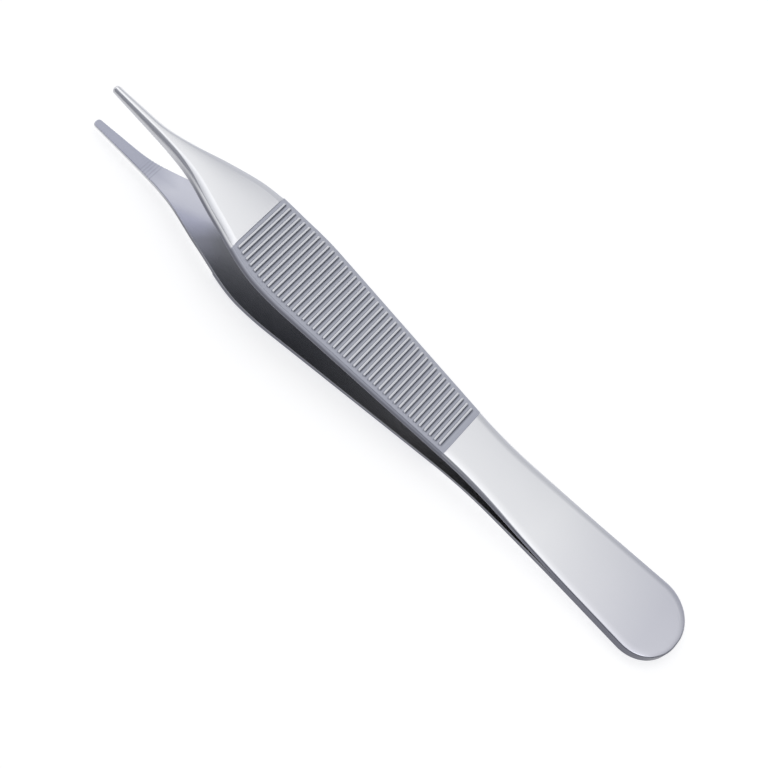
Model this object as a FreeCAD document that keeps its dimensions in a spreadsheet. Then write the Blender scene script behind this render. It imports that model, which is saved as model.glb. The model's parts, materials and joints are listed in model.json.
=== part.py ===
import FreeCAD, Part
import math
import os

import Sketcher
from FreeCAD import Placement, Rotation, Vector

# Thumb forceps: two spring arms, joined face to face over the tail.
# While an arm is drawn, X runs from the tail's end to the tip, Y across the width,
# and Z = 0 is the plane that the arms meet in. The last step lays the pair on its lower arm.

os.makedirs("parts", exist_ok=True)
doc = FreeCAD.newDocument("thumb_forceps")

# Driving sizes in millimetres

DRIVING_SIZES = {
    "arm_length": (120.0, "tail end to tip"),
    "tail_width": (14.9, "where the tail's sides would meet its end line"),
    "tail_radius": (6.6, "round of the tail's two corners"),
    "waist_position": (40.1, "from the tail end to the narrow waist"),
    "waist_width": (10.07, "where the sides would meet at the waist"),
    "waist_radius": (99.0, "hollow curve through the waist"),
    "shoulder_to_tip": (32.3, "from the widest place to the tip"),
    "shoulder_width": (16.4, "where the sides would meet at the shoulder"),
    "shoulder_radius": (47.0, "bulging curve of the shoulder"),
    "nose_length": (12.8, "from the root of the nose to the tip"),
    "root_width": (2.61, "where the sides would meet at the nose's root"),
    "root_radius": (33.0, "hollow curve into the nose"),
    "tip_width": (1.48, "width of the nose at its tip"),
    "tip_radius": (0.62, "round of the tip's corners"),
    "tail_thickness": (0.95, "thickness of one arm at the tail"),
    "tail_bend_position": (24.0, "where the outer face leaves the tail's plane"),
    "nose_bend_to_tip": (19.2, "from where the outer face turns level again to the tip"),
    "nose_height": (5.75, "outer face of the nose above the meeting plane"),
    "outer_bend_radius": (256.0, "both gentle bends of the outer face"),
    "gap_start": (22.0, "where the inner face leaves the meeting plane"),
    "gap_radius": (200.0, "gentle bends of the inner face"),
    "root_thickness": (1.7, "thickness of the arm at the nose bend"),
    "tip_thickness": (0.85, "thickness of the arm at its tip"),
    "edge_bevel": (0.5, "bevel along the outer face's edges"),
    "panel_to_tip": (74.0, "from the grip panel's rear step to the tip"),
    "panel_depth": (0.22, "grip panel's floor below the smooth face"),
    "rib_count": (42, "bars across the grip panel"),
    "rib_pitch": (1.03, "from one bar to the next"),
    "rib_radius": (0.25, "half-round bar"),
    "rib_rear_land": (1.4, "plain floor behind the last bar's middle"),
    "rib_front_land": (0.78, "plain floor ahead of the first bar's middle"),
    "rib_side_margin": (0.65, "plain floor beside the bars' ends"),
    "serration_count": (24, "fine notches across the inner face of the nose"),
    "serration_pitch": (0.5, "from one notch to the next"),
    "serration_depth": (0.13, "depth of a notch"),
    "serration_land": (0.7, "plain tip ahead of the first notch"),
}

sizes = doc.addObject("Spreadsheet::Sheet", "sizes")
for row, (alias, (number, meaning)) in enumerate(DRIVING_SIZES.items(), start=1):
    sizes.set(f"A{row}", meaning)
    sizes.set(f"B{row}", str(number))
    sizes.setAlias(f"B{row}", alias)
doc.recompute()

# Sizes that follow from the driving ones, as expressions on the sheet

SHOULDER_X = "(sizes.arm_length - sizes.shoulder_to_tip)"
ROOT_X = "(sizes.arm_length - sizes.nose_length)"
NOSE_BEND_X = "(sizes.arm_length - sizes.nose_bend_to_tip)"
PANEL_X = "(sizes.arm_length - sizes.panel_to_tip)"
OUTER_SLOPE = (
    "(sizes.nose_height - sizes.tail_thickness)"
    f" / ({NOSE_BEND_X} - sizes.tail_bend_position)"
)
INNER_ROOT_HEIGHT = "(sizes.nose_height - sizes.root_thickness)"
INNER_TIP_HEIGHT = "(sizes.nose_height - sizes.tip_thickness)"
NOSE_INNER_SLOPE = f"({INNER_TIP_HEIGHT} - {INNER_ROOT_HEIGHT}) / sizes.nose_bend_to_tip"
PANEL_LENGTH = (
    "(sizes.rib_rear_land + (sizes.rib_count - 1) * sizes.rib_pitch + sizes.rib_front_land)"
)
PANEL_REAR_HEIGHT = (
    f"sizes.tail_thickness + ({PANEL_X} - sizes.tail_bend_position) * {OUTER_SLOPE}"
)
FULL_WIDTH = "(sizes.shoulder_width + sizes.tail_width)"
CLEAR = "sizes.tail_thickness"


def value(expression):
    """The number that an expression on the sheet gives now."""
    result = sizes.evalExpression(expression)
    return float(getattr(result, "Value", result))


def bind_last(sketch, expression):
    """Ties the sketch's newest constraint to an expression."""
    sketch.setExpression(f"Constraints[{sketch.ConstraintCount - 1}]", expression)


def place_point(sketch, geometry, position, x_expression, y_expression):
    """Holds one point of a sketch at two distances from the sketch's origin."""
    for kind, expression in (("DistanceX", x_expression), ("DistanceY", y_expression)):
        distance = value(expression)
        sketch.addConstraint(Sketcher.Constraint(kind, -1, 1, geometry, position, distance))
        bind_last(sketch, expression)


def corner_round(before, corner, after, radius):
    """Ends of a corner's round and its arc, drawn counterclockwise."""
    towards_before = (before - corner).normalize()
    towards_after = (after - corner).normalize()
    half_angle = towards_before.getAngle(towards_after) / 2
    reach = radius / math.tan(half_angle)
    first = corner + towards_before * reach
    last = corner + towards_after * reach
    middle_line = (towards_before + towards_after).normalize()
    centre = corner + middle_line * (radius / math.sin(half_angle))
    turns_left = towards_before.cross(towards_after).z < 0
    start, end = (first, last) if turns_left else (last, first)
    angles = [math.atan2(point.y - centre.y, point.x - centre.x) for point in (start, end)]
    circle = Part.Circle(centre, Vector(0, 0, 1), radius)
    arc = Part.ArcOfCircle(circle, angles[0], angles[1])
    return first, last, arc, turns_left


def draw_outline(sketch, corners):
    """Closed outline of straight sides, its corners round where a radius is given.

    A corner is its x, its y and its radius or None, each an expression on the sheet.
    """
    points = [Vector(value(x), value(y), 0) for x, y, _ in corners]
    count = len(corners)
    rounds = []
    for index, (_, _, radius) in enumerate(corners):
        if radius is None:
            rounds.append((points[index], points[index], None, None))
        else:
            following = points[(index + 1) % count]
            rounds.append(
                corner_round(points[index - 1], points[index], following, value(radius))
            )
    sides = []
    for index in range(count):
        start = rounds[index][1]
        end = rounds[(index + 1) % count][0]
        sides.append(sketch.addGeometry(Part.LineSegment(start, end), False))
    for index, (x, y, radius) in enumerate(corners):
        side_before = sides[index - 1]
        side_after = sides[index]
        if radius is None:
            sketch.addConstraint(Sketcher.Constraint("Coincident", side_before, 2, side_after, 1))
            place_point(sketch, side_after, 1, x, y)
            continue
        _, _, arc_shape, turns_left = rounds[index]
        arc = sketch.addGeometry(arc_shape, False)
        arc_first, arc_last = (1, 2) if turns_left else (2, 1)
        sketch.addConstraint(Sketcher.Constraint("Tangent", side_before, 2, arc, arc_first))
        sketch.addConstraint(Sketcher.Constraint("Tangent", arc, arc_last, side_after, 1))
        sketch.addConstraint(Sketcher.Constraint("Radius", arc, value(radius)))
        bind_last(sketch, radius)
        corner = sketch.addGeometry(Part.Point(points[index]), True)
        place_point(sketch, corner, 1, x, y)
        sketch.addConstraint(Sketcher.Constraint("PointOnObject", corner, 1, side_before))
        sketch.addConstraint(Sketcher.Constraint("PointOnObject", corner, 1, side_after))


def draw_circle(sketch, x, y, radius):
    """A circle from its centre and its radius, each an expression on the sheet."""
    centre = Vector(value(x), value(y), 0)
    circle = sketch.addGeometry(Part.Circle(centre, Vector(0, 0, 1), value(radius)), False)
    sketch.addConstraint(Sketcher.Constraint("Radius", circle, value(radius)))
    bind_last(sketch, radius)
    place_point(sketch, circle, 3, x, y)


def new_sketch(body, name, plane_role):
    """An empty sketch on one of the body's own origin planes."""
    sketch = body.newObject("Sketcher::SketchObject", name)
    plane = next(p for p in body.Origin.OriginFeatures if p.Role == plane_role)
    sketch.AttachmentSupport = (plane, [""])
    sketch.MapMode = "FlatFace"
    return sketch


def tilt_sketch(sketch, x, height, slope):
    """Moves a side view sketch's origin to x and height and turns its own x along a slope."""
    sketch.AttachmentOffset = Placement(Vector(value(x), value(height), 0), Rotation())
    sketch.setExpression(".AttachmentOffset.Base.x", x)
    sketch.setExpression(".AttachmentOffset.Base.y", height)
    sketch.setExpression(".AttachmentOffset.Rotation.Angle", f"atan({slope})")


def across(feature, sketch, length):
    """Makes a pad or a pocket run to both sides of its sketch."""
    feature.Profile = sketch
    feature.SideType = "Symmetric"
    feature.Length = value(length)
    feature.setExpression("Length", length)


def repeat_along(body, name, feature, sketch, count, pitch, backwards=False):
    """Repeats a feature along its own sketch's x direction."""
    pattern = body.newObject("PartDesign::LinearPattern", name)
    pattern.Originals = [feature]
    pattern.Direction = (sketch, ["H_Axis"])
    pattern.Reversed = backwards
    pattern.Mode = "Spacing"
    pattern.setExpression("Offset", pitch)
    pattern.setExpression("Occurrences", count)
    body.Tip = pattern
    return pattern


# Corners of the views that an arm is drawn from


def side_corners():
    """Side view of one arm: its outer line to the tip, then its inner line back."""
    return [
        ("0", "sizes.tail_thickness", None),
        ("0", "0", None),
        ("sizes.gap_start", "0", "sizes.gap_radius"),
        (NOSE_BEND_X, INNER_ROOT_HEIGHT, "sizes.gap_radius"),
        ("sizes.arm_length", INNER_TIP_HEIGHT, None),
        ("sizes.arm_length", "sizes.nose_height", None),
        (NOSE_BEND_X, "sizes.nose_height", "sizes.outer_bend_radius"),
        ("sizes.tail_bend_position", "sizes.tail_thickness", "sizes.outer_bend_radius"),
    ]


def mirrored_corners(half):
    """A closed outline from its corners on the +Y side, tail first."""
    other_half = [(x, f"-({y})", radius) for x, y, radius in half]
    return other_half + half[::-1]


def plan_corners():
    """Plan view of an arm."""
    return mirrored_corners([
        ("0", "sizes.tail_width / 2", "sizes.tail_radius"),
        ("sizes.waist_position", "sizes.waist_width / 2", "sizes.waist_radius"),
        (SHOULDER_X, "sizes.shoulder_width / 2", "sizes.shoulder_radius"),
        (ROOT_X, "sizes.root_width / 2", "sizes.root_radius"),
        ("sizes.arm_length", "sizes.tip_width / 2", "sizes.tip_radius"),
    ])


def rib_bound_corners():
    """Plan view of the area that the bars fill, a margin inside the arm's sides."""
    margin = "sizes.rib_side_margin"
    return mirrored_corners([
        ("0", f"sizes.tail_width / 2 - {margin}", None),
        ("sizes.waist_position", f"sizes.waist_width / 2 - {margin}", "sizes.waist_radius"),
        (SHOULDER_X, f"sizes.shoulder_width / 2 - {margin}", "sizes.shoulder_radius"),
        (ROOT_X, f"sizes.root_width / 2 - {margin}", None),
    ])


def surround_corners():
    """A rectangle well outside the arm's plan view."""
    reach = f"{FULL_WIDTH} / 2"
    return mirrored_corners([
        (f"-{reach}", reach, None),
        (f"sizes.arm_length + {reach}", reach, None),
    ])


def trim_outside(body, name, corners):
    """Cuts away all of the body that lies outside an outline in plan view."""
    sketch = new_sketch(body, f"{name}_outline", "XY_Plane")
    draw_outline(sketch, surround_corners())
    draw_outline(sketch, corners)
    trim = body.newObject("PartDesign::Pocket", name)
    across(trim, sketch, "4 * sizes.nose_height")
    return trim


def outer_edge_names(shape):
    """Edges round the outer face: those that belong to just one of its faces."""
    lean = 0.7
    skin = []
    for face in shape.Faces:
        u_low, u_high, v_low, v_high = face.ParameterRange
        if face.normalAt((u_low + u_high) / 2, (v_low + v_high) / 2).z > lean:
            skin.append(face)
    names = []
    for number, edge in enumerate(shape.Edges, start=1):
        owners = [f for f in skin if any(edge.isSame(other) for other in f.Edges)]
        if len(owners) == 1:
            names.append(f"Edge{number}")
    return names


def make_blank(name, first_notch):
    """One arm without its bars; first_notch is the first notch's distance from the tip."""
    body = doc.addObject("PartDesign::Body", name)
    side = new_sketch(body, f"{name}_side_view", "XZ_Plane")
    draw_outline(side, side_corners())
    slab = body.newObject("PartDesign::Pad", f"{name}_slab")
    across(slab, side, FULL_WIDTH)
    trimmed = trim_outside(body, f"{name}_plan", plan_corners())
    doc.recompute()

    bevelled = body.newObject("PartDesign::Chamfer", f"{name}_outer_edges")
    bevelled.Base = (trimmed, outer_edge_names(trimmed.Shape))
    bevelled.setExpression("Size", "sizes.edge_bevel")

    panel = new_sketch(body, f"{name}_panel_view", "XZ_Plane")
    tilt_sketch(panel, PANEL_X, PANEL_REAR_HEIGHT, OUTER_SLOPE)
    draw_outline(panel, [
        ("0", "-sizes.panel_depth", None),
        (PANEL_LENGTH, "-sizes.panel_depth", None),
        (PANEL_LENGTH, CLEAR, None),
        ("0", CLEAR, None),
    ])
    recess = body.newObject("PartDesign::Pocket", f"{name}_panel")
    across(recess, panel, FULL_WIDTH)

    notch_view = new_sketch(body, f"{name}_notch_view", "XZ_Plane")
    tilt_sketch(notch_view, "sizes.arm_length", INNER_TIP_HEIGHT, NOSE_INNER_SLOPE)
    draw_outline(notch_view, [
        (f"-({first_notch})", "sizes.serration_depth", None),
        (f"-({first_notch}) - sizes.serration_pitch", "-sizes.serration_depth", None),
        (f"-({first_notch}) + sizes.serration_pitch", "-sizes.serration_depth", None),
    ])
    notch = body.newObject("PartDesign::Pocket", f"{name}_notch")
    across(notch, notch_view, FULL_WIDTH)
    repeat_along(
        body, f"{name}_serration", notch, notch_view,
        "sizes.serration_count", "sizes.serration_pitch", backwards=True,
    )
    return body


def make_ribs(name):
    """The bars of one grip panel, half sunk in its floor and cut to the arm's outline."""
    body = doc.addObject("PartDesign::Body", name)
    view = new_sketch(body, f"{name}_view", "XZ_Plane")
    tilt_sketch(view, PANEL_X, PANEL_REAR_HEIGHT, OUTER_SLOPE)
    draw_circle(view, "sizes.rib_rear_land", "-sizes.panel_depth", "sizes.rib_radius")
    rib = body.newObject("PartDesign::Pad", f"{name}_first")
    across(rib, view, FULL_WIDTH)
    repeat_along(body, f"{name}_row", rib, view, "sizes.rib_count", "sizes.rib_pitch")
    trim_outside(body, f"{name}_ends", rib_bound_corners())
    return body


def join(label, blank, ribs):
    """One finished arm: the blank and its bars as a single solid."""
    arm = doc.addObject("Part::Fuse", label)
    arm.Base = blank
    arm.Tool = ribs
    arm.Label = label
    return arm


upper_blank = make_blank("upper_blank", "sizes.serration_land")
upper_arm = join("upper_arm", upper_blank, make_ribs("upper_ribs"))

# The lower arm's notches sit half a pitch further back, so that the two rows interlock.

lower_blank = make_blank("lower_blank", "sizes.serration_land + sizes.serration_pitch / 2")
lower_form = join("lower_form", lower_blank, make_ribs("lower_ribs"))
lower_arm = doc.addObject("Part::Mirroring", "lower_arm")
lower_arm.Source = lower_form
lower_arm.Normal = Vector(0, 0, 1)
lower_arm.Label = "lower_arm"
doc.recompute()

# Rest: the forceps lie on the lower arm's outer face, which touches at the tail end's
# bevel and on the nose bend. In side view the bevel ends in a point and the bend is an
# arc, and the floor is the line through the point that touches the arc from below.

bend_radius = value("sizes.outer_bend_radius")
bend_run = bend_radius * math.tan(math.atan(value(OUTER_SLOPE)) / 2)
tail_contact = Vector(value("sizes.edge_bevel"), 0, -value("sizes.tail_thickness"))
bend_centre = Vector(
    value(NOSE_BEND_X) + bend_run, 0, bend_radius - value("sizes.nose_height")
)
span = bend_centre - tail_contact
rest_pitch = math.asin(bend_radius / span.Length) - math.atan2(span.z, span.x)
turn = Rotation(Vector(0, 1, 0), -math.degrees(rest_pitch))

# The origin is the middle of the resting forceps' box, on the floor.

arms = [upper_arm, lower_arm]
boxes = []
for arm in arms:
    lying = arm.Shape.copy()
    lying.Placement = Placement(Vector(0, 0, 0), turn)
    boxes.append(lying.optimalBoundingBox(False))
middle_x = (min(b.XMin for b in boxes) + max(b.XMax for b in boxes)) / 2
floor_z = min(b.ZMin for b in boxes)
for arm in arms:
    arm.Placement = Placement(Vector(-middle_x, 0, -floor_z), turn)
doc.recompute()

# Every object has to be sound before a file is written.

for item in doc.Objects:
    if "Invalid" in item.State or "Error" in item.State:
        raise RuntimeError(f"{item.Label} didn't build: {item.State}")
for arm in arms:
    shape = arm.Shape
    if shape.isNull() or not shape.isValid() or len(shape.Solids) != 1:
        raise RuntimeError(f"{arm.Label} isn't one sound solid")
    shape.exportStep(f"parts/{arm.Label}.step")
    print(arm.Label, "volume", round(shape.Volume, 2), "mm3")
print("rest pitch", round(math.degrees(rest_pitch), 3), "degrees")
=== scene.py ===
"""Thumb forceps: two satin steel arms, drawn by one rule and laid where the frame says."""

import json
import math

import bpy
from mathutils import Matrix, Vector


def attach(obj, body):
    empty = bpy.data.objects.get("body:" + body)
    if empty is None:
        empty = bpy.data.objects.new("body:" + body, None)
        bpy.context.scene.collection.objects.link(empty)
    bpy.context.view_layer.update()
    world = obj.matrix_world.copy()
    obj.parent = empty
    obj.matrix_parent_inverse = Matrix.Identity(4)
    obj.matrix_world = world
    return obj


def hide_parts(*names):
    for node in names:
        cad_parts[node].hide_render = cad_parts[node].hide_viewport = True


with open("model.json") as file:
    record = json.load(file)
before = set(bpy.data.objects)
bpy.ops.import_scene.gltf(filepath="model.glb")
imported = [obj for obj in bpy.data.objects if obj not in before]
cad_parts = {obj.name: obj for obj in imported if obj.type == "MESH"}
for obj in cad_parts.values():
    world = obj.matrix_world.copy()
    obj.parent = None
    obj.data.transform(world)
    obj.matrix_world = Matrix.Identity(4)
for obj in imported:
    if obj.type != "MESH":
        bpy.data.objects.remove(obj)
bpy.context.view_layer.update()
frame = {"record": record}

MM = 0.001

# Sizes of an arm in millimetres. X runs from the tail's end to the tip, Y across,
# and Z = 0 is the plane in which the two arms meet.

ARM_LENGTH = 120.0
TAIL_ROUND = 6.6
TIP_ROUND = 0.62
SIDE_CORNERS = {
    "tail": (0.0, 7.45, 0.0),
    "waist": (40.1, 5.035, 99.0),
    "shoulder": (87.7, 8.2, 47.6),
    "nose root": (107.2, 1.42, 38.0),
    "tip": (120.0, 0.74, 0.0),
}
OUTER_CORNERS = {
    "tail": (0.0, 0.95, 0.0),
    "tail bend": (24.0, 0.95, 256.0),
    "nose bend": (100.8, 5.75, 256.0),
    "tip": (120.0, 5.75, 0.0),
}
INNER_CORNERS = {
    "tail": (0.0, 0.0, 0.0),
    "gap start": (22.0, 0.0, 200.0),
    "nose bend": (100.8, 4.05, 200.0),
    "tip": (120.0, 4.9, 0.0),
}

# The grip panel is laid out along the outer face's slope, so its lengths are a little
# shorter in plan: the bars' pitch, and the plain floor behind the first bar and ahead of
# the last.

SLOPE_START = OUTER_CORNERS["tail bend"]
SLOPE_END = OUTER_CORNERS["nose bend"]
SLOPE = math.atan((SLOPE_END[1] - SLOPE_START[1]) / (SLOPE_END[0] - SLOPE_START[0]))
IN_PLAN = math.cos(SLOPE)
PANEL_START = 46.0
REAR_LAND = 1.4 * IN_PLAN
FRONT_LAND = 0.78 * IN_PLAN
BAR_COUNT = 42
BAR_PITCH = 1.03 * IN_PLAN
FIRST_BAR = PANEL_START + REAR_LAND
LAST_BAR = FIRST_BAR + (BAR_COUNT - 1) * BAR_PITCH
PANEL_END = LAST_BAR + FRONT_LAND
BAR_MARGIN = 0.95
HOLLOW_MARGIN = 0.3
STEP_WIDTH = 0.07
NOTCH_COUNT = 24
NOTCH_PITCH = 0.5

# The mount on the upper tail's face lies this far from the tail's end.

TAIL_FACE_X = 11.0

# Stretches over which an arm changes, each as its start and its length along the arm

PAST_WELD = (17.0, 8.0)
PAST_TAIL = (20.0, 22.0)
ONTO_GRIP = (33.0, 13.0)
ONTO_PANEL = (PANEL_START - STEP_WIDTH / 2.0, STEP_WIDTH)
OFF_PANEL = (PANEL_END - STEP_WIDTH / 2.0, STEP_WIDTH)
ONTO_SQUARE_ROWS = (PANEL_START - 3.0, 2.0)
OFF_SQUARE_ROWS = (PANEL_END + 1.0, 2.0)
ONTO_SHOULDER = (PANEL_END - 1.0, 2.0)
ONTO_NOSE = (98.0, 10.0)
LEAN_OUT = (84.0, 11.0)
LEAN_BACK = (100.0, 12.0)

# The outer face's edge, at the tail, along the arm, at the shoulder and on the nose: the
# bevel's width, the depth and width of the soft roll inside it, and the crown in the middle.
# On the nose the bevel takes up a share of the half width.

BEVEL_WIDTHS = (0.22, 0.42, 0.42)
NOSE_BEVEL_SHARE = 0.6
NOSE_BEVEL_MOST = 0.75
PANEL_BEVEL_SHARE = 0.88
ROLL_DEPTHS = (0.09, 0.13, 0.21, 0.04)
ROLL_WIDTHS = (1.05, 1.4, 1.1, 0.3)
CROWNS = (0.07, 0.07, 0.24, 0.13)

# How flat the bevel is, from a round at 0 to a plain slope at 1, and how sharply the
# shoulder's roll starts

TAIL_FLATNESS = 0.35
GRIP_FLATNESS = 0.65
NOSE_FLATNESS = 0.25
SHOULDER_CREASE = 0.6

# The notches next to the tip are worn to a share of their depth: up to a notch's number,
# and then back to the full depth over some more.

WORN_SHARE = 0.35
PAST_WORN = (14.0, 5.0)


# Sums on sockets


class Sum:
    """A socket's number, on which Python's own operators add Math nodes."""

    def __init__(self, tree, socket):
        self.tree = tree
        self.socket = socket

    def math(self, operation, *numbers):
        """A Math node of this number and others."""
        node = self.tree.node("ShaderNodeMath", {"operation": operation}, *numbers)
        return Sum(self.tree, node.outputs[0])

    def __add__(self, other):
        return self.math("ADD", self, other)

    def __radd__(self, other):
        return self.math("ADD", other, self)

    def __sub__(self, other):
        return self.math("SUBTRACT", self, other)

    def __rsub__(self, other):
        return self.math("SUBTRACT", other, self)

    def __mul__(self, other):
        return self.math("MULTIPLY", self, other)

    def __rmul__(self, other):
        return self.math("MULTIPLY", other, self)

    def __truediv__(self, other):
        return self.math("DIVIDE", self, other)

    def __neg__(self):
        return self.math("MULTIPLY", self, -1.0)

    def __lt__(self, other):
        return self.math("LESS_THAN", self, other)

    def __gt__(self, other):
        return self.math("GREATER_THAN", self, other)

    def least(self, other):
        return self.math("MINIMUM", self, other)

    def most(self, other):
        return self.math("MAXIMUM", self, other)

    def between(self, low, high):
        return self.most(low).least(high)

    def root(self):
        return self.math("SQRT", self)

    def sine(self):
        return self.math("SINE", self)

    def cosine(self):
        return self.math("COSINE", self)

    def arctangent(self):
        return self.math("ARCTANGENT", self)

    def floor(self):
        return self.math("FLOOR", self)

    def size(self):
        return self.math("ABSOLUTE", self)

    def towards(self, other, share):
        """This number at share 0, the other at share 1."""
        return self + (other - self) * share

    def eased(self):
        """A number from 0 to 1 with a soft start and end."""
        return self * self * (3.0 - 2.0 * self)


class Tree:
    """A node tree whose nodes come from one method."""

    def __init__(self, tree):
        self.tree = tree

    def node(self, kind, settings=None, *sockets, **named):
        """A node of a kind: its settings first, then its sockets in order and by name."""
        made = self.tree.nodes.new(kind)
        for name, setting in (settings or {}).items():
            if name == "stops":
                self.colour_stops(made.color_ramp, setting)
            else:
                setattr(made, name, setting)
        for socket, source in zip(made.inputs, sockets):
            self.feed(socket, source)
        for name, source in named.items():
            self.feed(made.inputs[name.replace("_", " ")], source)
        return made

    def feed(self, socket, source):
        """Links a socket to a source, or gives it a plain value."""
        if isinstance(source, Sum):
            source = source.socket
        if isinstance(source, bpy.types.Node):
            source = source.outputs[0]
        if isinstance(source, bpy.types.NodeSocket):
            self.tree.links.new(source, socket)
        else:
            socket.default_value = source

    def colour_stops(self, ramp, stops):
        """Sets a colour ramp's stops from (place, colour) pairs."""
        while len(ramp.elements) < len(stops):
            ramp.elements.new(1.0)
        for element, (place, colour) in zip(ramp.elements, stops):
            element.position = place
            element.color = colour

    def sum(self, node, output=0):
        """A node's output as a number to work on."""
        return Sum(self, node.outputs[output])


# The arm's rule, as sums on the row and column number of a grid


def share(number, start, count):
    """How far a running number is through a stretch, from 0 to 1."""
    return ((number - start) / count).between(0.0, 1.0)


def bent_line(x, corners):
    """Height and slope at x of straight runs between corners, each rounded by its radius."""
    places = list(corners.values())
    slopes = [
        (after[1] - before[1]) / (after[0] - before[0])
        for before, after in zip(places, places[1:])
    ]
    height = x * slopes[0] + places[0][1]
    slope = x * 0.0 + slopes[0]
    for (place, _, radius), before, after in zip(places[1:], slopes, slopes[1:]):
        turn = abs(math.atan(after) - math.atan(before))
        reach = radius * math.tan(turn / 2.0)
        inside = (x - place).between(-reach, reach) + reach
        beyond = (x - place - reach).most(0.0)
        height = height + (inside * inside / (4.0 * reach) + beyond) * (after - before)
        slope = slope + inside * ((after - before) / (2.0 * reach))
    return height, slope


def side_angle(first, second):
    """Angle from +Y towards +X of the outward normal of a straight side."""
    (x_first, y_first, _), (x_second, y_second, _) = SIDE_CORNERS[first], SIDE_CORNERS[second]
    return -math.atan2(y_second - y_first, x_second - x_first)


TAIL_ANGLE = side_angle("tail", "waist")
TIP_ANGLE = side_angle("nose root", "tip")
SIDE_START = TAIL_ROUND * (1.0 + math.sin(TAIL_ANGLE))
SIDE_END = ARM_LENGTH - TIP_ROUND * (1.0 - math.sin(TIP_ANGLE))


class Rows:
    """X of the grid's rows along the arm: stretches of rows, one after another."""

    def __init__(self, row, first_row, x):
        self.row = row
        self.next_row = first_row
        self.at = x
        self.x = row * 0.0 + x

    def run(self, count, x):
        """Evenly spaced rows up to x."""
        self.x = self.x + share(self.row, self.next_row, count) * (x - self.at)
        self.next_row += count
        self.at = x

    def bars(self, radius):
        """Rows that follow the round of every bar, with one in each valley between."""
        per_bar = 2 * ROWS_PER_HALF_BAR + VALLEY_ROWS
        count = (BAR_COUNT - 1) * per_bar + 2 * ROWS_PER_HALF_BAR
        inside = (self.row - self.next_row).between(0.0, count)
        bar = (inside / per_bar).floor()
        step = inside - bar * per_bar
        turn = (step / ROWS_PER_HALF_BAR - 1.0).between(-1.0, 1.0) * (math.pi / 2.0)
        valley = (step - 2.0 * ROWS_PER_HALF_BAR).most(0.0) * (BAR_PITCH / 2.0 - radius)
        self.x = self.x + bar * BAR_PITCH + (turn.sine() + 1.0) * radius + valley
        self.next_row += count
        self.at = self.at + (BAR_COUNT - 1) * BAR_PITCH + radius * 2.0


# Rows of the grid in each stretch of the arm. Two rows lie close behind and ahead of the
# panel, so that its steps stay crisp.

TAIL_ROWS = 26
WAIST_ROWS = 46
STEP_ROWS = 2
REAR_LAND_ROWS = 4
ROWS_PER_HALF_BAR = 4
VALLEY_ROWS = 2
FRONT_LAND_ROWS = 3
SHOULDER_ROWS = 40
ROWS_PER_NOTCH = 4
WHOLE_NOTCH_ROWS = 94
LAST_SIDE_ROWS = 2
TIP_ROWS = 9
STEP_SUPPORT = 0.2


def arm_rows(row, bar_radius, first_notch):
    """X of every row between the round tail and the round tip, and the tip's first row."""
    rows = Rows(row, 1 + TAIL_ROWS, SIDE_START)
    rows.run(WAIST_ROWS, PANEL_START - STEP_SUPPORT)
    rows.run(STEP_ROWS, PANEL_START - STEP_WIDTH / 2.0)
    rows.run(STEP_ROWS, PANEL_START + STEP_WIDTH / 2.0)
    rows.run(REAR_LAND_ROWS, FIRST_BAR - bar_radius)
    rows.bars(bar_radius)
    rows.run(FRONT_LAND_ROWS, PANEL_END - STEP_WIDTH / 2.0)
    rows.run(STEP_ROWS, PANEL_END + STEP_WIDTH / 2.0)
    rows.run(STEP_ROWS, PANEL_END + STEP_SUPPORT)
    notches_start = ARM_LENGTH - first_notch - (NOTCH_COUNT - 0.5) * NOTCH_PITCH
    rows.run(SHOULDER_ROWS, notches_start)
    whole_notches = WHOLE_NOTCH_ROWS * NOTCH_PITCH / ROWS_PER_NOTCH
    rows.run(WHOLE_NOTCH_ROWS, notches_start + whole_notches)
    rows.run(LAST_SIDE_ROWS, SIDE_END)
    return rows.x, rows.next_row


# Columns of the grid, from the middle of the outer face round the edge to the middle
# of the inner face

COLUMNS = {"middle": 6, "band": 12, "edge": 8, "wall": 2, "turn": 3, "back": 5}
COLUMN_COUNT = sum(COLUMNS.values())


def arm_columns(column):
    """How far a column is through each stretch of the half section."""
    shares = {}
    start = 0
    for name, count in COLUMNS.items():
        shares[name] = share(column, start, count)
        start += count
    return shares


ARM_INPUTS = {
    "Side": 1.0,
    "Wall Height": 0.35,
    "Tail Wall Height": 0.68,
    "Inner Round": 0.12,
    "Panel Depth": 0.22,
    "Valley Hollow": 0.02,
    "Bar Height": 0.21,
    "Bar Radius": 0.285,
    "Front Aside": 0.9,
    "First Notch": 0.7,
    "Notch Depth": 0.09,
}
CLEARANCE = 0.015


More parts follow.
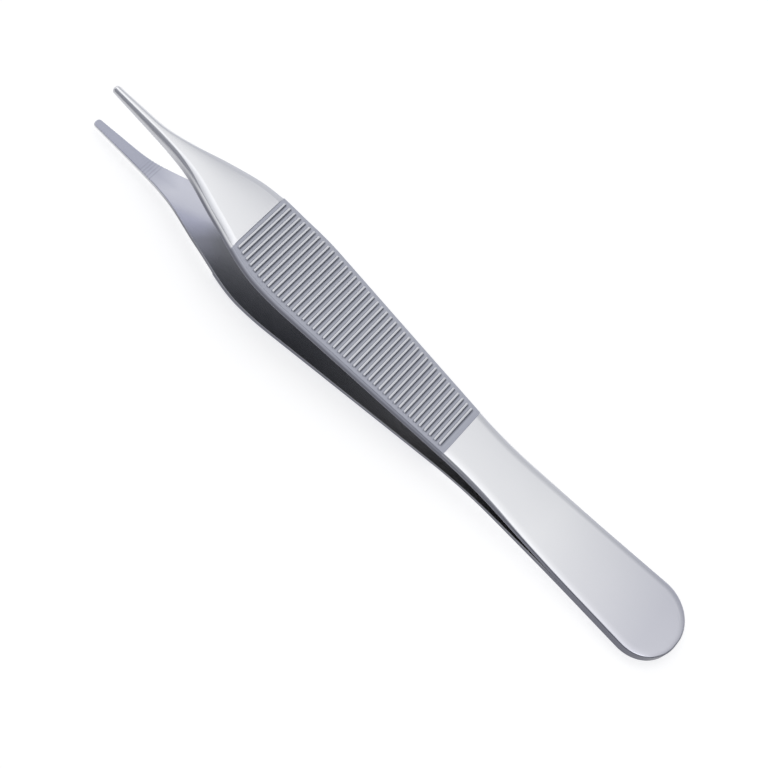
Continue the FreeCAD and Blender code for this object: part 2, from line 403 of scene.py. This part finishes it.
class Place:
    """Where a row crosses the arm: its outline point and how the face is shaped there."""

    def __init__(self, row, given):
        side_x, tip_row = arm_rows(row, given["Bar Radius"], given["First Notch"])
        self.last_row = tip_row + TIP_ROWS + 1
        self.side_x = side_x
        self.half_width, slope = bent_line(side_x, SIDE_CORNERS)
        tail_turn = 1.0 - share(row, 1, TAIL_ROWS)
        tip_turn = share(row, tip_row, TIP_ROWS)
        angle = (
            tail_turn * (-math.pi / 2.0 - TAIL_ANGLE)
            + tip_turn * (math.pi / 2.0 - TIP_ANGLE)
            - slope.arctangent()
        )
        self.along = angle.sine()
        self.across = angle.cosine()
        tail_reach = (row < TAIL_ROWS + 0.5) * TAIL_ROUND
        tip_reach = (row > tip_row + 0.5) * TIP_ROUND
        self.outline_x = (
            side_x
            + tail_reach * (self.along - math.sin(TAIL_ANGLE))
            + tip_reach * (self.along - math.sin(TIP_ANGLE))
        )
        self.outline_y = (
            self.half_width
            + tail_reach * (self.across - math.cos(TAIL_ANGLE))
            + tip_reach * (self.across - math.cos(TIP_ANGLE))
        )
        self.off_middle = row.least(self.last_row - row).between(0.0, 1.0)
        self.in_panel = share(side_x, *ONTO_PANEL) - share(side_x, *OFF_PANEL)
        onto_square = share(side_x, *ONTO_SQUARE_ROWS).eased()
        self.square = onto_square - share(side_x, *OFF_SQUARE_ROWS).eased()
        self.past_weld = share(side_x, *PAST_WELD).eased()
        self.past_tail = share(side_x, *PAST_TAIL).eased()
        self.shoulder = share(side_x, *ONTO_SHOULDER).eased()
        self.nose = share(side_x, *ONTO_NOSE).eased()
        nose_bevel = (self.half_width * NOSE_BEVEL_SHARE).least(NOSE_BEVEL_MOST)
        self.bevel = self.along_arm(*BEVEL_WIDTHS, nose_bevel)
        self.roll = self.along_arm(*ROLL_DEPTHS)
        self.roll_width = self.along_arm(*ROLL_WIDTHS)
        self.crown = self.along_arm(*CROWNS)
        self.crease = self.shoulder * SHOULDER_CREASE
        grip = share(side_x, *ONTO_GRIP).eased()
        flatness = grip * (GRIP_FLATNESS - TAIL_FLATNESS) + TAIL_FLATNESS
        self.flatness = flatness.towards(NOSE_FLATNESS, self.nose)

    def along_arm(self, at_tail, on_arm, at_shoulder, on_nose):
        """A size that changes from the tail to the nose."""
        size = self.past_tail * (on_arm - at_tail) + at_tail
        size = size + self.shoulder * (at_shoulder - on_arm)
        return size.towards(on_nose, self.nose)


# The painted shade at a bar's foot: from its rear flank, over a fade, to a little past the bar

FOOT_START = 0.13
FOOT_FADE = 0.08
FOOT_PAST_BAR = 0.02
FOOT_END_FADE = 0.15


def bars_and_floor(place, y, given):
    """The bars' rounds from 0 to 1, the painted shade at their feet, and their height over the
    floor.
    """
    radius = given["Bar Radius"]
    x = place.side_x - FIRST_BAR
    nearest = (x / BAR_PITCH + 0.5).floor().between(0.0, BAR_COUNT - 1)
    from_bar = x - nearest * BAR_PITCH
    past_end = (y - place.half_width + (radius + BAR_MARGIN)).most(0.0)
    out = (from_bar * from_bar + past_end * past_end) / (radius * radius)
    bar = (1.0 - out).most(0.0).root()
    from_valley = (from_bar.size() - BAR_PITCH / 2.0) / (BAR_PITCH / 2.0 - radius)
    hollow = (1.0 - from_valley * from_valley).most(0.0)
    inside = share(-y + place.half_width, BAR_MARGIN, HOLLOW_MARGIN)
    foot = share(-from_bar, FOOT_START, FOOT_FADE)
    foot = foot - share(-from_bar, radius + FOOT_PAST_BAR, FOOT_END_FADE)
    foot = foot * (1.0 - past_end / radius).most(0.0)
    return bar, foot, bar * given["Bar Height"] - hollow * inside * given["Valley Hollow"]


def notch_depth(x, given):
    """Depth of the fine notches across the inner face of the nose."""
    notch = (ARM_LENGTH - given["First Notch"] - x) / NOTCH_PITCH
    from_notch = notch - (notch + 0.5).floor().between(0.0, NOTCH_COUNT - 1)
    unworn = WORN_SHARE + share(notch, *PAST_WORN) * (1.0 - WORN_SHARE)
    return (0.5 - from_notch.size()).most(0.0) * 2.0 * given["Notch Depth"] * unworn


def face_drop(place, x, y):
    """How far the smooth outer face falls below its middle, towards sides and tail end."""
    past_x = (TAIL_ROUND - x).most(0.0)
    past_y = (y - place.half_width + TAIL_ROUND).most(0.0)
    from_outline = TAIL_ROUND - (past_x * past_x + past_y * past_y).root()
    roll = 1.0 - share(from_outline, place.bevel, place.roll_width)
    roll = (roll * roll).towards(roll, place.crease)
    out = y / place.half_width
    return place.roll * roll + place.crown * out * out


# How the finish follows the arm: how far the bars' tops are polished and the nose's sides
# less ground and less darkened by painted shade, where on the bevel the ground side with its
# painted shade starts, how the inner face's painted shades slant, and how far the painted
# shade darkens the tail end

BAR_POLISH = 0.75
NOSE_SIDE_LESS_GRIND_AND_SHADE = 0.6
SHADED_GROUND_SIDE = (0.25, 0.5)
INNER_SLANT = 0.9
TAIL_END_SHADE_REACH = (5.0, 22.0)

PANEL_BAND = 0.8
MERGE_DISTANCE = 0.0005
SMOOTH_ANGLE = math.radians(34.0)


def build_arm_tree():
    """The Geometry Nodes tree of an arm: one half's grid by rule, its mirror and their join."""
    group = bpy.data.node_groups.new("forceps_arm", "GeometryNodeTree")
    group.interface.new_socket("Geometry", in_out="INPUT", socket_type="NodeSocketGeometry")
    for name, start in ARM_INPUTS.items():
        made = group.interface.new_socket(name, in_out="INPUT", socket_type="NodeSocketFloat")
        made.default_value = start
    group.interface.new_socket("Finish", in_out="INPUT", socket_type="NodeSocketMaterial")
    group.interface.new_socket("Geometry", in_out="OUTPUT", socket_type="NodeSocketGeometry")
    tree = Tree(group)
    inputs = tree.node("NodeGroupInput")
    given = {name: Sum(tree, inputs.outputs[name]) for name in ARM_INPUTS}
    index = tree.sum(tree.node("GeometryNodeInputIndex"))
    row = ((index + 0.5) / (COLUMN_COUNT + 1)).floor()
    column = index - row * (COLUMN_COUNT + 1)
    through = arm_columns(column)
    place = Place(row, given)

    # In plan: how far in from the outline each column lies

    inner_round = given["Inner Round"] * place.past_weld
    turn = through["turn"] * (math.pi / 2.0)
    edge_turn = through["edge"] * (math.pi / 2.0)
    outward = edge_turn.sine().towards(through["edge"], place.flatness)
    bevel = place.bevel.towards(place.bevel * PANEL_BEVEL_SHARE, place.in_panel)
    inset = CLEARANCE + bevel * (1.0 - outward) + inner_round * (1.0 - turn.cosine())
    x = (place.outline_x - inset * place.along).towards(place.side_x, place.square)
    side_y = (place.outline_y - inset * place.across) * place.off_middle
    band = (side_y * 0.5).least(place.roll_width.towards(PANEL_BAND, place.in_panel))
    y = (side_y - band) * through["middle"] + band * through["band"]
    y = y * (1.0 - through["back"])

    # In height: the outer face with its panel, the bevel, the wall and the inner face

    outer, _ = bent_line(x, OUTER_CORNERS)
    inner, _ = bent_line(x, INNER_CORNERS)
    bar, foot, relief = bars_and_floor(place, y, given)
    smooth_face = face_drop(place, x, y)
    panel_floor = given["Panel Depth"] - relief
    drop = smooth_face.towards(panel_floor, place.in_panel)
    wall = given["Tail Wall Height"].towards(given["Wall Height"], place.past_tail)
    bevel_depth = outer - inner - wall
    downward = (1.0 - edge_turn.cosine()).towards(through["edge"], place.flatness)
    outer_z = outer - drop.towards(bevel_depth, downward) - CLEARANCE / 2.0
    inner_z = inner + notch_depth(x, given) + inner_round * (1.0 - turn.sine())
    z = outer_z.towards(inner_z, through["wall"]) * given["Side"]

    # The half arm with the marks that the finish follows, its mirror image and their join

    grid = tree.node(
        "GeometryNodeMeshGrid", None, 1.0, 1.0, place.last_row + 1, COLUMN_COUNT + 1
    )
    points = tree.node("ShaderNodeCombineXYZ", None, x, y, z)
    half = tree.node("GeometryNodeSetPosition", None, grid, Position=points)
    outside = place.in_panel * (1.0 - through["wall"])
    inner_face = through["turn"] * place.past_weld
    ground_side = share(through["edge"], *SHADED_GROUND_SIDE) - inner_face
    marks = {
        "panel_floor": outside * (1.0 - bar * BAR_POLISH),
        # Painted shade at the bars' rear feet
        "bar_foot": outside * foot,
        # The ground sides: rougher, and darkened with painted shade, less so on the nose
        "ground_side": ground_side * (1.0 - place.nose * NOSE_SIDE_LESS_GRIND_AND_SHADE),
        "inner_face": inner_face,
        # Where the inner face lies along the arm, which sets its painted shade
        "inner_place": (x - y * INNER_SLANT) / ARM_LENGTH,
        # Painted shade at the tail end, fading out along the arm
        "weld_tint": 1.0 - share(x, *TAIL_END_SHADE_REACH),
    }
    for name, mark in marks.items():
        half = tree.node(
            "GeometryNodeStoreNamedAttribute",
            {"data_type": "FLOAT", "domain": "POINT"},
            half,
            Name=name,
            Value=mark,
        )
    mirrored = tree.node("GeometryNodeTransform", None, half, Scale=(1.0, -1.0, 1.0))
    mirrored = tree.node("GeometryNodeFlipFaces", None, mirrored)
    both = tree.node("GeometryNodeJoinGeometry")
    group.links.new(half.outputs[0], both.inputs[0])
    group.links.new(mirrored.outputs[0], both.inputs[0])
    closed = tree.node("GeometryNodeMergeByDistance", None, both, Distance=MERGE_DISTANCE)

    # The front of the arm leans aside: out at the shoulder and back towards the tip

    position = tree.node("GeometryNodeInputPosition")
    arm_x = tree.sum(tree.node("ShaderNodeSeparateXYZ", None, position))
    lean = share(arm_x, *LEAN_OUT).eased() - share(arm_x, *LEAN_BACK).eased()
    aside = tree.node("ShaderNodeCombineXYZ", None, 0.0, -lean * given["Front Aside"], 0.0)
    leaning = tree.node("GeometryNodeSetPosition", None, closed, Offset=aside)

    # The rule leaves the upper arm's faces looking inwards, so they are flipped

    facing = tree.node("GeometryNodeFlipFaces", None, leaning, given["Side"] > 0.0)
    smooth_edges = tree.sum(tree.node("GeometryNodeInputMeshEdgeAngle")) < SMOOTH_ANGLE
    smooth = tree.node(
        "GeometryNodeSetShadeSmooth", {"domain": "EDGE"}, facing, Shade_Smooth=smooth_edges
    )
    whole = tree.node("GeometryNodeRealizeInstances", None, smooth)
    finish_input = inputs.outputs["Finish"]
    finished = tree.node("GeometryNodeSetMaterial", None, whole, Material=finish_input)
    tree.node("NodeGroupOutput", None, finished)
    return group


def lying_place():
    """From an arm's own millimetres to the frame, by the flat face of the upper tail."""
    mount = next(m for m in frame["record"]["mounts"] if m["name"] == "upper_tail_face")
    up = Vector(mount["axis"]).normalized()
    across = Vector((0.0, 1.0, 0.0))
    turn = Matrix((across.cross(up), across, up)).transposed().to_4x4()
    anchor = Matrix.Translation(Vector((-TAIL_FACE_X, 0.0, -OUTER_CORNERS["tail"][1])))
    return Matrix.Translation(Vector(mount["pos_m"])) @ turn @ Matrix.Scale(MM, 4) @ anchor


def make_arm(name, tree, finish, **inputs):
    """One arm as a plain mesh that stands for its CAD node."""
    carrier = bpy.data.objects.new(f"{name}_rule", bpy.data.meshes.new(f"{name}_rule"))
    bpy.context.scene.collection.objects.link(carrier)
    modifier = carrier.modifiers.new("arm", "NODES")
    modifier.node_group = tree
    sockets = {
        item.name: item.identifier
        for item in tree.interface.items_tree
        if item.in_out == "INPUT"
    }
    for words, number in {**ARM_INPUTS, **inputs}.items():
        modifier[sockets[words.replace("_", " ")]] = number
    modifier[sockets["Finish"]] = finish
    depsgraph = bpy.context.evaluated_depsgraph_get()
    mesh = bpy.data.meshes.new_from_object(carrier.evaluated_get(depsgraph))
    bpy.data.objects.remove(carrier)
    mesh.transform(lying_place())
    mesh.name = f"{name}_steel"
    arm = bpy.data.objects.new(f"{name}_steel", mesh)
    bpy.context.scene.collection.objects.link(arm)
    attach(arm, "root")
    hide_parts(name)
    return arm


# Finish: the steel's colours, with painted shade at the tail end, at the bars' feet, on the
# sides and on the inner face from the crotch to the notches (each at its place along the
# arm), the roughness and what is added to it, and the fine lines, grain and clouds of the
# polish

FACE_COLOUR = (0.82, 0.826, 0.849, 1.0)
# Painted shade: the tail end is coloured darker and bluer, fading out along the arm
TAIL_END_SHADE_COLOUR = (0.605, 0.61, 0.67, 1.0)
FLOOR_COLOUR = (0.46, 0.475, 0.54, 1.0)
# Painted shade: the dark line along the rear foot of every bar
FOOT_SHADE_COLOUR = (0.165, 0.175, 0.21, 1.0)
# Painted shade: the ground sides are coloured far darker than steel; only their extra roughness
# is real grind
SIDE_SHADE_COLOUR = (0.17, 0.173, 0.205, 1.0)
# The inner face's colours along the arm, painted shade for the dark gap between the arms:
# lighter at the crotch, darkest from 70 to 91.5 mm, lighter again ahead of that, and darker
# over the notches
CROTCH_COLOUR = (0.56, 0.56, 0.57, 1.0)
DEEP_SHADE_COLOUR = (0.39, 0.395, 0.415, 1.0)
INNER_COLOUR = (0.62, 0.63, 0.71, 1.0)
NOTCHED_COLOUR = (0.43, 0.445, 0.53, 1.0)
INNER_SHADE_STOPS = [
    (50.0 / ARM_LENGTH, CROTCH_COLOUR),
    (70.0 / ARM_LENGTH, DEEP_SHADE_COLOUR),
    (91.5 / ARM_LENGTH, DEEP_SHADE_COLOUR),
    (96.0 / ARM_LENGTH, INNER_COLOUR),
    (103.0 / ARM_LENGTH, INNER_COLOUR),
    (109.0 / ARM_LENGTH, NOTCHED_COLOUR),
]
STEEL_ROUGHNESS = 0.25
LINE_ROUGHNESS = 0.04
CLOUD_ROUGHNESS = 0.06
PANEL_ROUGHNESS = 0.15
SIDE_ROUGHNESS = 0.1
LINES_PER_METRE = (60.0, 2600.0, 2600.0)
LINE_DETAIL = 3.0
GRAINS_PER_METRE = 9000.0
CLOUDS_PER_METRE = 90.0
NOISE_DETAIL = 2.0
LINE_HEIGHT = 0.3
GRAIN_HEIGHT = 0.1
RELIEF_STRENGTH = 0.08
RELIEF_DEPTH = 0.00002


def mix_colour(tree, first, second, amount):
    """The first colour at amount 0, the second at amount 1."""
    mixer = tree.node("ShaderNodeMix", {"data_type": "RGBA"})
    tree.feed(mixer.inputs[0], amount)
    tree.feed(mixer.inputs[6], first)
    tree.feed(mixer.inputs[7], second)
    return mixer.outputs[2]


def steel_finish():
    """Satin steel: polished faces, a matte panel floor and ground sides, with painted shade on
    the sides, the bars' feet, the tail end and the inner face.
    """
    material = bpy.data.materials.new("satin_steel")
    material.use_nodes = True
    material.node_tree.nodes.clear()
    tree = Tree(material.node_tree)
    place = tree.node("ShaderNodeTexCoord").outputs["Object"]

    def mark(name):
        """A mark that the arm's rule left on the mesh."""
        return tree.sum(tree.node("ShaderNodeAttribute", {"attribute_name": name}), 2)

    def noise(where, scale, detail):
        """Smooth noise about nought."""
        made = tree.node("ShaderNodeTexNoise", None, where, Scale=scale, Detail=detail)
        return tree.sum(made) - 0.5

    floor = mark("panel_floor")
    side = mark("ground_side")
    stretched = tree.node("ShaderNodeMapping", None, place, Scale=LINES_PER_METRE)
    line = noise(stretched, 1.0, LINE_DETAIL)
    grain = noise(place, GRAINS_PER_METRE, NOISE_DETAIL)
    cloud = noise(place, CLOUDS_PER_METRE, NOISE_DETAIL)
    roughness = STEEL_ROUGHNESS + line * LINE_ROUGHNESS + cloud * CLOUD_ROUGHNESS
    roughness = roughness + floor * PANEL_ROUGHNESS + side * SIDE_ROUGHNESS
    # Painted shade in the colour: the tail end, the bars' feet, the sides and the inner face
    base = mix_colour(tree, FACE_COLOUR, TAIL_END_SHADE_COLOUR, mark("weld_tint"))
    base = mix_colour(tree, base, FLOOR_COLOUR, floor)
    base = mix_colour(tree, base, FOOT_SHADE_COLOUR, mark("bar_foot"))
    base = mix_colour(tree, base, SIDE_SHADE_COLOUR, side)
    stops = {"stops": INNER_SHADE_STOPS}
    inner_colour = tree.node("ShaderNodeValToRGB", stops, mark("inner_place"))
    base = mix_colour(tree, base, inner_colour, mark("inner_face"))
    height = line * (1.0 - floor) * LINE_HEIGHT + grain * (GRAIN_HEIGHT + floor)
    bump = tree.node(
        "ShaderNodeBump", None, Strength=RELIEF_STRENGTH, Distance=RELIEF_DEPTH, Height=height
    )
    shader = tree.node(
        "ShaderNodeBsdfPrincipled",
        None,
        Base_Color=base,
        Metallic=1.0,
        Roughness=roughness,
        Normal=bump,
    )
    tree.node("ShaderNodeOutputMaterial", None, shader)
    return material


finish = steel_finish()
arm_tree = build_arm_tree()
make_arm("upper_arm", arm_tree, finish)
make_arm("lower_arm", arm_tree, finish, Side=-1.0, First_Notch=0.95)


# Floor, light and camera

FLOOR_HALF = 5.0
PAPER_COLOUR = (0.55, 0.55, 0.55, 1.0)
FLOOR_GLOW = 0.69
FULL_LIGHT = (1.0, 1.0, 1.0, 1.0)
DIM_LIGHT = (0.94, 0.965, 1.07, 1.0)

# The sky by direction, with each pair as a start and a length on one axis. The camera
# stands on the +Y side, so the faces mirror the -Y side, which is lit. The sky behind the
# camera is dim.

LOW_BRIGHTNESS = 0.5
FULL_BRIGHTNESS = 1.0
RISE = (-0.76, 0.22)
LOW_GLOW = 0.16
LOW_GLOW_START = (0.74, 0.08)
STRIP_GLOW = 0.34
STRIP_START = (-0.38, 0.2)
SHADE_START = (-0.22, 0.52)
LIT_FROM_X = (-0.6, 0.25)
DIM_BRIGHTNESS = 0.18
BACK_GLOW = 0.14
BACK_GLOW_START = (0.05, 0.35)
PAPER_HEIGHT = (0.17, 0.08)
LEAST_WHITENESS = 0.4


def seen_directly(tree):
    """1 for rays from the camera and for mirror and glass rays, 0 for light on the object."""
    rays = tree.node("ShaderNodeLightPath").outputs
    seen = Sum(tree, rays["Is Camera Ray"])
    seen = seen.most(Sum(tree, rays["Is Glossy Ray"]))
    return seen.most(Sum(tree, rays["Is Transmission Ray"]))


def make_floor():
    """A pale paper floor that keeps the shadow, a little brighter to the eye."""
    mesh = bpy.data.meshes.new("floor")
    ways = ((-1.0, -1.0), (1.0, -1.0), (1.0, 1.0), (-1.0, 1.0))
    corners = [(x * FLOOR_HALF, y * FLOOR_HALF, 0.0) for x, y in ways]
    mesh.from_pydata(corners, [], [(0, 1, 2, 3)])
    floor = bpy.data.objects.new("floor", mesh)
    bpy.context.scene.collection.objects.link(floor)
    material = bpy.data.materials.new("floor_paper")
    material.use_nodes = True
    material.node_tree.nodes.clear()
    tree = Tree(material.node_tree)
    paper = tree.node("ShaderNodeBsdfDiffuse", None, Color=PAPER_COLOUR)
    glow = tree.node("ShaderNodeEmission", None, Color=FULL_LIGHT)
    tree.feed(glow.inputs["Strength"], seen_directly(tree) * FLOOR_GLOW)
    both = tree.node("ShaderNodeAddShader", None, paper, glow)
    tree.node("ShaderNodeOutputMaterial", None, both)
    mesh.materials.append(material)


def make_world():
    """A studio sky: a wide soft light overhead, white paper round the horizon, dim between."""
    world = bpy.data.worlds.new("studio")
    bpy.context.scene.world = world
    world.use_nodes = True
    world.node_tree.nodes.clear()
    tree = Tree(world.node_tree)
    direction = tree.node("ShaderNodeTexCoord").outputs["Generated"]
    parts = tree.node("ShaderNodeSeparateXYZ", None, direction)
    x, y, height = (tree.sum(parts, output) for output in range(3))
    rise = share(y, *RISE).eased()
    overhead = LOW_BRIGHTNESS + rise * (FULL_BRIGHTNESS - LOW_BRIGHTNESS)
    overhead = overhead + share(-y, *LOW_GLOW_START).eased() * LOW_GLOW
    overhead = overhead + share(y, *STRIP_START).eased() * STRIP_GLOW
    lit = (1.0 - share(y, *SHADE_START).eased()) * share(x, *LIT_FROM_X).eased()
    dim = DIM_BRIGHTNESS + share(y, *BACK_GLOW_START).eased() * BACK_GLOW
    paper = 1.0 - share(height, *PAPER_HEIGHT).eased()
    strength = dim.towards(overhead, lit).towards(1.0, paper)
    whiteness = (lit * (LEAST_WHITENESS + rise * (1.0 - LEAST_WHITENESS))).most(paper)
    colour = mix_colour(tree, DIM_LIGHT, FULL_LIGHT, whiteness)
    sky = tree.node("ShaderNodeBackground", None, colour, strength)
    tree.node("ShaderNodeOutputWorld", None, sky)


LAMP_DIRECTION = (-0.55, 0.0, 0.83)
LAMP_DISTANCE = 0.6
LAMP_SIZE = 0.2
LAMP_WATTS = 0.2


def make_lamp():
    """A soft square lamp over the tail that faces the forceps."""
    lamp = bpy.data.lights.new("tail_lamp", "AREA")
    lamp.shape = "SQUARE"
    lamp.size = LAMP_SIZE
    lamp.energy = LAMP_WATTS
    holder = bpy.data.objects.new("tail_lamp", lamp)
    direction = Vector(LAMP_DIRECTION).normalized()
    holder.location = direction * LAMP_DISTANCE
    holder.rotation_mode = "QUATERNION"
    holder.rotation_quaternion = direction.to_track_quat("Z", "Y")
    bpy.context.scene.collection.objects.link(holder)


# The photograph's view, in pixels of its width and in millimetres

PHOTO_WIDTH = 768.0
SENSOR_WIDTH = 36.0
FOCAL_PIXELS = 2292.0
VIEW_TILT = math.radians(34.0)
VIEW_DISTANCE = 350.0
LENGTH_ANGLE = math.radians(136.46)
CENTRE_PIXEL = (389.84, 375.15)
NEAR_CLIP = 0.01
FAR_CLIP = 20.0


def make_camera():
    """The photograph's view: across the arms from 34 degrees off their plane."""
    camera = bpy.data.cameras.new("camera")
    camera.sensor_width = SENSOR_WIDTH
    camera.lens = FOCAL_PIXELS / PHOTO_WIDTH * camera.sensor_width
    camera.shift_x = -(CENTRE_PIXEL[0] - PHOTO_WIDTH / 2.0) / PHOTO_WIDTH
    camera.shift_y = (CENTRE_PIXEL[1] - PHOTO_WIDTH / 2.0) / PHOTO_WIDTH
    holder = bpy.data.objects.new("camera", camera)
    lay = lying_place()
    turn = lay.to_3x3().normalized()
    back = turn @ Vector((0.0, math.sin(VIEW_TILT), math.cos(VIEW_TILT)))
    length = turn @ Vector((1.0, 0.0, 0.0))
    right = length * math.cos(LENGTH_ANGLE) - back.cross(length) * math.sin(LENGTH_ANGLE)
    up = back.cross(right)
    aim = lay @ Vector((ARM_LENGTH / 2.0, 0.0, 0.0))
    facing = Matrix((right, up, back)).transposed().to_4x4()
    holder.matrix_world = Matrix.Translation(aim + back * VIEW_DISTANCE * MM) @ facing
    camera.clip_start = NEAR_CLIP
    camera.clip_end = FAR_CLIP
    bpy.context.scene.collection.objects.link(holder)
    bpy.context.scene.camera = holder


make_floor()
make_world()
make_lamp()
make_camera()
bpy.context.scene.view_settings.view_transform = "Standard"
